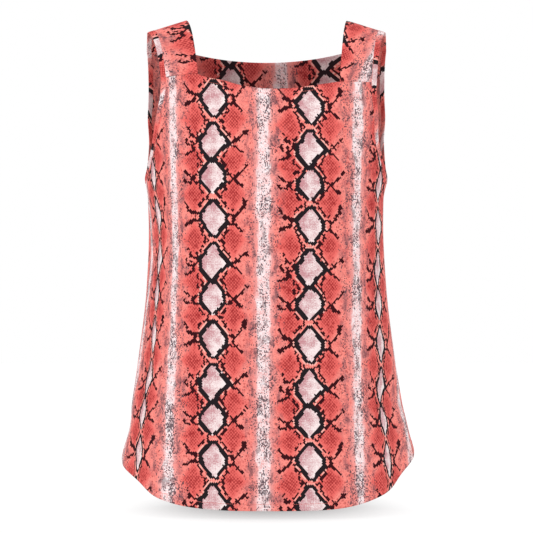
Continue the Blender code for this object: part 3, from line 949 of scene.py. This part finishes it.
def add_panel(name, face, materials):
    turn, height = panel_places(face)
    points = body_points(face, height, turn, lift=WALL / 2)
    if face == FRONT:
        prints = front_print(height, turn)
    else:
        across = turn * side_length(face, height)
        eased = BACK_EASE * smooth_step(*BACK_SIDE_SPAN, np.abs(across))
        prints = np.stack([across - np.sign(across) * eased, height], axis=-1)
        points, prints = points[:, ::-1], prints[:, ::-1]
    mesh = lay_sheet(name, points[::-1], prints[::-1])
    return dress(name + "_cloth", mesh, materials)


front = add_panel("front", FRONT, (FRONT_CLOTH, FRONT_INSIDE_PAINTED_SHADE))
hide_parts("front")
back = add_panel("back", BACK, (BACK_CLOTH, BACK_INSIDE_PAINTED_SHADE))
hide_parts("back")

# %% [markdown]
# ## Shoulder straps
#
# A strap rises from its seam at the neckline's height, lies over the shoulder and comes down
# behind. The solids have it as an arch between two feet, and the sheet follows the same arch.

# %% Shoulder arches
LOOK_ABOVE = 0.004          # how far above a foot the cloth's direction there is read


def bezier(points, t):
    first, second, third, last = (np.asarray(p)[None, :] for p in points)
    t = np.asarray(t)[:, None]
    s = 1 - t
    return first * s ** 3 + second * 3 * s * s * t + third * 3 * s * t * t + last * t ** 3


def turn_at(face, height, x):
    """The turn at which the body's section is x from the middle."""
    row = np.array([between(SECTIONS[face][0], np.full_like(SHARES, height), SHARES)])[0]
    return math.copysign(float(np.interp(abs(x), row, SHARES)), x)


def arch_foot(side, face, across):
    """Foot of the arch: across is 0 at the neck, 1 at the band's seam, 2 at the armhole."""
    spread = BAND_WIDTH * min(2 - across, 1.0)
    turn, height = (float(value) for value in armhole_turn_and_height(side, face, 0.0, spread))
    if across < 1:
        corner = side * (NECK_CORNER if face == FRONT else BACK_CORNER)
        corner_turn = turn_at(face, height, corner)
        turn = corner_turn + (turn - corner_turn) * across
        height = float(top_height(face, body_points(face, height, turn)[0]))
    foot = body_points(face, height, turn)
    return foot, unit(body_points(face, height + LOOK_ABOVE, turn) - foot)


def arch(side, across, along):
    """A line of points over the shoulder: along is 0 in front, 0.5 on the ridge, 1 behind."""
    along = np.asarray(along, float)
    points = np.zeros(along.shape + (3,))
    ridge_places = (RIDGE_INNER, RIDGE_OUTER - BAND_WIDTH, RIDGE_OUTER)
    ridge_x = float(np.interp(across, (0, 1, 2), ridge_places))
    drop = RIDGE_DROP * (ridge_x - RIDGE_INNER) / (RIDGE_OUTER - RIDGE_INNER)
    ridge = np.array([side * ridge_x, 0.0, -drop - WALL / 2])
    for face, half in ((FRONT, along < 0.5), (BACK, along >= 0.5)):
        foot, upward = arch_foot(side, face, across)
        handles = (
            foot,
            foot + upward * (ridge[2] - foot[2]) * CHEST_HANDLE,
            ridge + np.array([0, foot[1] * RIDGE_ROUNDING, 0]),
            ridge,
        )
        t = 2 * along[half] if face == FRONT else 2 - 2 * along[half]
        part = bezier(handles, t)
        part[:, 0] = ridge[0] + (foot[0] - ridge[0]) * part[:, 1] / foot[1]
        points[half] = part
    return points


def normals_of(points, side):
    """Outward directions of a grid of shoulder points."""
    over = np.gradient(points, axis=0)
    aside = np.gradient(points, axis=1)
    return unit(np.cross(aside, over) * side)

# %% Straps
STRAP_COLUMNS, STRAP_ROWS = 26, 110
STRAP_EDGE = 1.2            # its outer edge runs a fifth of the band's width into the binding


def add_strap(name, side, materials):
    across = np.linspace(0.0, STRAP_EDGE, STRAP_COLUMNS + 1)
    along = np.linspace(0.0, 1.0, STRAP_ROWS + 1)
    points = np.stack([arch(side, a, along) for a in across], axis=1)
    points = points + normals_of(points, side) * WALL / 2
    prints = np.stack([points[..., 0], way_along(points)], axis=-1)
    if side == RIGHT:
        points, prints = points[:, ::-1], prints[:, ::-1]
    mesh = lay_sheet(name, points, prints)
    return dress(name + "_cloth", mesh, materials)


strap_left = add_strap("strap_left", LEFT, (LEFT_STRAP_CLOTH,))
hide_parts("strap_left")
strap_right = add_strap("strap_right", RIGHT, (RIGHT_STRAP_CLOTH,))
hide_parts("strap_right")

# %% [markdown]
# ## Armhole bindings
#
# A binding is a strip folded over the armhole's raw edge, so its section is a flat, rounded
# tube. The tube runs round the armhole: down the front, up the back and over the shoulder. Its
# ends meet under the arm, so the print jumps there.

# %% Bindings
BAND_THICKNESS = 0.0020
BAND_ROUND, ARM_STATIONS, OVER_STATIONS = 14, 120, 100
BAND_EDGES = 13             # lines across it from which its section is worked out
BAND_FLATNESS = 0.8         # 1 makes the section an ellipse, less makes it flatter
MEASURED_STATION = 10       # where the length round is measured


def band_middle(side, edge):
    """The middle of the binding at one place across it: edge is 0 at the seam, 1 at the armhole."""
    spread = BAND_WIDTH * (1 - edge)
    share = np.linspace(0, 1, ARM_STATIONS + 1)
    parts = []
    for face in (FRONT, BACK):
        turn, height = armhole_turn_and_height(side, face, share, spread)
        parts.append(body_points(face, height, turn))
    over = arch(side, 1 + edge, np.linspace(1, 0, OVER_STATIONS + 1))
    return np.concatenate([parts[0][:-1], parts[1][::-1][:-1], over])


def round_loop(loop):
    """The way along a closed loop, at each of its points. The last point is the first again."""
    return np.gradient(np.concatenate([loop[-2:-1], loop, loop[1:2]]), axis=0)[1:-1]


def flattened(wave):
    return np.sign(wave) * np.abs(wave) ** BAND_FLATNESS


def add_band(name, side, materials):
    flat = np.stack([band_middle(side, edge) for edge in np.linspace(0.0, 1.0, BAND_EDGES)], axis=1)
    normal = unit(np.cross(round_loop(flat), np.gradient(flat, axis=1)) * side)
    angles = np.linspace(0, 2 * math.pi, BAND_ROUND + 1)
    rise = flattened(np.sin(angles)) * BAND_THICKNESS / 2
    place = (0.5 - 0.5 * flattened(np.cos(angles))) * (BAND_EDGES - 1)
    low = np.clip(place.astype(int), 0, BAND_EDGES - 2)
    share = (place - low)[None, :, None]
    middle = flat[:, low] * (1 - share) + flat[:, low + 1] * share
    out = normal[:, low] * (1 - share) + normal[:, low + 1] * share
    points = middle + out * rise[None, :, None]
    points[-1] = points[0]
    way = way_along(flat[:, BAND_EDGES // 2])
    from_front = np.where(np.arange(len(way)) < ARM_STATIONS, way, way - way[-1])
    around = way_along(points[MEASURED_STATION])
    prints = np.stack(np.broadcast_arrays(around[None, :], -from_front[:, None]), axis=-1)
    if side == LEFT:
        points, prints = points[:, ::-1], prints[:, ::-1]
    mesh = lay_sheet(name, points, prints)
    piece = dress(name + "_cloth", mesh, materials, wall=0.0)
    return piece, float(way[-1]), float(around[-1])


band_left, band_length, band_round = add_band("armhole_band_left", LEFT, (LEFT_BINDING_CLOTH,))
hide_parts("armhole_band_left")
band_right, _, _ = add_band("armhole_band_right", RIGHT, (RIGHT_BINDING_CLOTH,))
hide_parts("armhole_band_right")
print("a binding is", round(band_length, 3), "m long and", round(band_round, 4), "m round")

# %% [markdown]
# ## Hem and stitches
#
# The hem is the panels' own cloth, turned up inside and stitched. Its turned part is a second,
# narrow sheet on the panel's inner face. Turned up, it shows the print's right side there.
#
# A stitch is a short piece of thread that dips into the cloth at both ends. One could model the
# needle's whole path, but only the top thread shows. Each line of sewing is one curve object with
# many short splines, made into a mesh at the end. The thread matches the coral ground.

# %% Turned hem
HEM_TURNED = 0.0100
HEM_SHEET = 0.0005
HEM_STARTS = 0.0006         # above the hem's edge
HEM_ENDS = 0.9965           # the turn at which it ends, just before the side seam
HEM_POINTS = 4              # from its edge to its top
HEM_AIR = 0.0001            # between it and the panel


def add_turned_hem(name, face, material):
    turn = np.linspace(-HEM_ENDS, HEM_ENDS, 2 * HALF_COLUMNS + 1)[None, :]
    climb = np.linspace(HEM_STARTS, HEM_TURNED, HEM_POINTS)[:, None]
    height = hem_height(turn) + climb
    points = body_points(face, height, turn, lift=WALL / 2 - CLOTH - HEM_AIR)
    prints = np.stack([turn * side_length(face, height), hem_height(turn) - climb], axis=-1)
    if face == BACK:
        points, prints = points[:, ::-1], prints[:, ::-1]
    mesh = lay_sheet(name, points, prints)
    return dress(name, mesh, (material,), wall=HEM_SHEET)


front_hem = add_turned_hem("front_hem", FRONT, FRONT_CLOTH)
back_hem = add_turned_hem("back_hem", BACK, BACK_CLOTH)

# %% Stitches
STITCH_PITCH, STITCH_LENGTH, THREAD = 0.0030, 0.0022, 0.00020
STITCH_ALONG = np.array([0.0, 0.2, 0.8, 1.0]) * STITCH_LENGTH
STITCH_RISE = np.array([-0.5, 0.6, 0.6, -0.5]) * THREAD
STEP_OUT = 0.001            # how far out of the cloth its outward direction is read

coral_thread, _, _ = add_material("coral thread", {
    "Base Color": THREAD_INK,
    "Roughness": 0.6,
    "Specular IOR Level": 0.2,
})


def sew(name, lines):
    """Stitches along some lines. A line is its points and the way out of the cloth at each."""
    thread = bpy.data.curves.new(name, "CURVE")
    thread.dimensions = "3D"
    thread.bevel_depth = THREAD
    thread.bevel_resolution = 1
    thread.use_fill_caps = True
    for points, outward in lines:
        way = way_along(points)
        for start in np.arange(0.5, way[-1] / STITCH_PITCH - 1) * STITCH_PITCH:
            at = start + STITCH_ALONG
            place, out = (np.stack([np.interp(at, way, part[:, i]) for i in range(3)], axis=-1)
                          for part in (points, outward))
            spline = thread.splines.new("POLY")
            spline.points.add(len(at) - 1)
            for point, (x, y, z) in zip(spline.points, place + out * STITCH_RISE[:, None]):
                point.co = (x, y, z, 1.0)
    maker = add_object(name, thread)
    bpy.context.view_layer.update()
    made = maker.evaluated_get(bpy.context.evaluated_depsgraph_get())
    mesh = bpy.data.meshes.new_from_object(made)
    mesh.name = name
    stitches = len(thread.splines)
    bpy.data.objects.remove(maker)
    bpy.data.curves.remove(thread)
    mesh.materials.clear()
    piece = add_piece(name, mesh, (coral_thread,))
    print(name, stitches, "stitches,", len(mesh.polygons), "faces")
    return piece


def panel_line(face, height, turn):
    """A line of sewing on a panel's outer face."""
    points, above = (body_points(face, height, turn, lift=WALL / 2 + step)
                     for step in (0, STEP_OUT))
    return points, (above - points) / STEP_OUT


NECK_SEWN_DOWN, NECK_SEWN_IN = 0.0060, 0.004    # from the neck's edge, and from its corners
CORNER_HEIGHT, NECK_HEIGHT = -0.07, -0.08       # where the section is read near the neck
HEM_SEWN_UP = HEM_TURNED - 0.0015
HEM_SEWN_TURNS = np.linspace(-0.99, 0.99, 601)

neck_lines, hem_lines = [], []
for face, corner in ((FRONT, NECK_CORNER), (BACK, BACK_CORNER)):
    reach = turn_at(face, CORNER_HEIGHT, corner - NECK_SEWN_IN)
    neck_turn = np.linspace(-reach, reach, 301)
    across = body_points(face, np.full_like(neck_turn, NECK_HEIGHT), neck_turn)[:, 0]
    neck_lines.append(panel_line(face, top_height(face, across) - NECK_SEWN_DOWN, neck_turn))
    hem_lines.append(panel_line(face, hem_height(HEM_SEWN_TURNS) + HEM_SEWN_UP, HEM_SEWN_TURNS))
neck_stitches = sew("neck_stitches", neck_lines)
hem_stitches = sew("hem_stitches", hem_lines)


BAND_SEWN_AT, BESIDE_IT = 0.16, 0.30    # places across the binding
BAND_RISE_THERE = BAND_THICKNESS / 2 * 0.86


def band_line(side):
    """The line of sewing along a binding, on its outer face near the seam."""
    sewn, beside = (band_middle(side, edge) for edge in (BAND_SEWN_AT, BESIDE_IT))
    outward = unit(np.cross(round_loop(sewn), beside - sewn) * side)
    return sewn + outward * BAND_RISE_THERE, outward


left_stitches = sew("left_band_stitches", [band_line(LEFT)])
right_stitches = sew("right_band_stitches", [band_line(RIGHT)])
